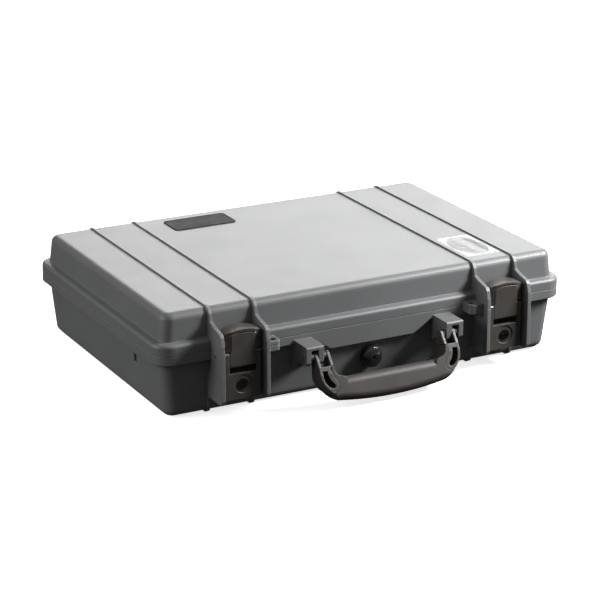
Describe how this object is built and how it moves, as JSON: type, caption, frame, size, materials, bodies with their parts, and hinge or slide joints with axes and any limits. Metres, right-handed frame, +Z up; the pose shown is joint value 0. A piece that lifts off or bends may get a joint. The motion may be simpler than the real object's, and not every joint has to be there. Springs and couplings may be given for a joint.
{
  "type": "laptop hard case",
  "caption": "Hard-shell laptop case with a hinged lid, keyed double-throw latches, a swinging carry handle, a purge valve and foam inside.",
  "frame": {"origin": "under the middle of the closed case's box, handle included, at the height of the rib feet", "axes": "+X along the front to the right, +Y from the latches back to the hinges, +Z up"},
  "size_m": [0.504, 0.3886, 0.1204],
  "materials": {
    "case": "grey moulded plastic with a fine grain",
    "latch": "dark moulded plastic, slightly glossy",
    "handle": "dark moulded plastic",
    "grip": "soft overmoulded rubber",
    "seal": "smooth black sealing cord",
    "foam": "open-cell charcoal foam",
    "plate": "black plate with a raised rim",
    "film": "clear blank film",
    "knob": "polished black plastic",
    "black": "black moulded plastic",
    "steel": "plain stainless steel"
  },
  "bodies": {
    "base": {"base_shell": "case", "base_foam_pad": "foam", "base_foam_surround": "foam", "hinge_pin_left": "steel", "hinge_pin_right": "steel", "valve_body": "black", "valve_nut": "black", "valve_seal": "seal", "handle_pin_left": "steel", "handle_pin_right": "steel", "lever_pin_left": "steel", "lever_pin_right": "steel"},
    "lid": {"lid_shell": "case", "lid_seal": "seal", "lid_foam": "foam", "name_plate": "plate", "label_film": "film"},
    "valve_knob": {"valve_knob": "knob"},
    "handle": {"handle_frame": "handle", "handle_grip": "grip"},
    "left_lever": {"lever_left": "latch", "claw_pin_left": "steel", "lock_barrel_left": "steel", "lock_nut_left": "steel"},
    "left_claw": {"claw_left": "latch"},
    "left_key": {"lock_plug_left": "steel", "lock_cam_left": "steel"},
    "right_lever": {"lever_right": "latch", "claw_pin_right": "steel", "lock_barrel_right": "steel", "lock_nut_right": "steel"},
    "right_claw": {"claw_right": "latch"},
    "right_key": {"lock_plug_right": "steel", "lock_cam_right": "steel"}
  },
  "joints": [
    {"name": "lid_hinge", "type": "hinge", "parent": "base", "child": "lid", "pos_m": [0, 0.18988, 0.0752], "axis": [-1, 0, 0], "range_deg": [0, 100]},
    {"name": "handle_swing", "type": "hinge", "parent": "base", "child": "handle", "pos_m": [0.0035, -0.16752, 0.057], "axis": [-1, 0, 0], "range_deg": [0, 70]},
    {"name": "valve_turn", "type": "hinge", "parent": "base", "child": "valve_knob", "pos_m": [0.0035, -0.14252, 0.0345], "axis": [0, -1, 0], "range_deg": [0, 180]},
    {"name": "left_lever_pivot", "type": "hinge", "parent": "base", "child": "left_lever", "pos_m": [-0.1625, -0.15352, 0.0705], "axis": [-1, 0, 0], "range_deg": [0, 100]},
    {"name": "left_claw_pivot", "type": "hinge", "parent": "left_lever", "child": "left_claw", "pos_m": [-0.1625, -0.15872, 0.0605], "axis": [-1, 0, 0], "range_deg": [-110, 0]},
    {"name": "left_key_turn", "type": "hinge", "parent": "left_lever", "child": "left_key", "pos_m": [-0.1625, -0.15352, 0.0393], "axis": [0, -1, 0], "range_deg": [0, 90]},
    {"name": "right_lever_pivot", "type": "hinge", "parent": "base", "child": "right_lever", "pos_m": [0.1625, -0.15352, 0.0705], "axis": [-1, 0, 0], "range_deg": [0, 100]},
    {"name": "right_claw_pivot", "type": "hinge", "parent": "right_lever", "child": "right_claw", "pos_m": [0.1625, -0.15872, 0.0605], "axis": [-1, 0, 0], "range_deg": [-110, 0]},
    {"name": "right_key_turn", "type": "hinge", "parent": "right_lever", "child": "right_key", "pos_m": [0.1625, -0.15352, 0.0393], "axis": [0, -1, 0], "range_deg": [0, 90]}
  ],
  "couplings": [
    {"joint": "left_claw_pivot", "follows": "left_lever_pivot", "ratio": -1.1},
    {"joint": "right_claw_pivot", "follows": "right_lever_pivot", "ratio": -1.1}
  ]
}
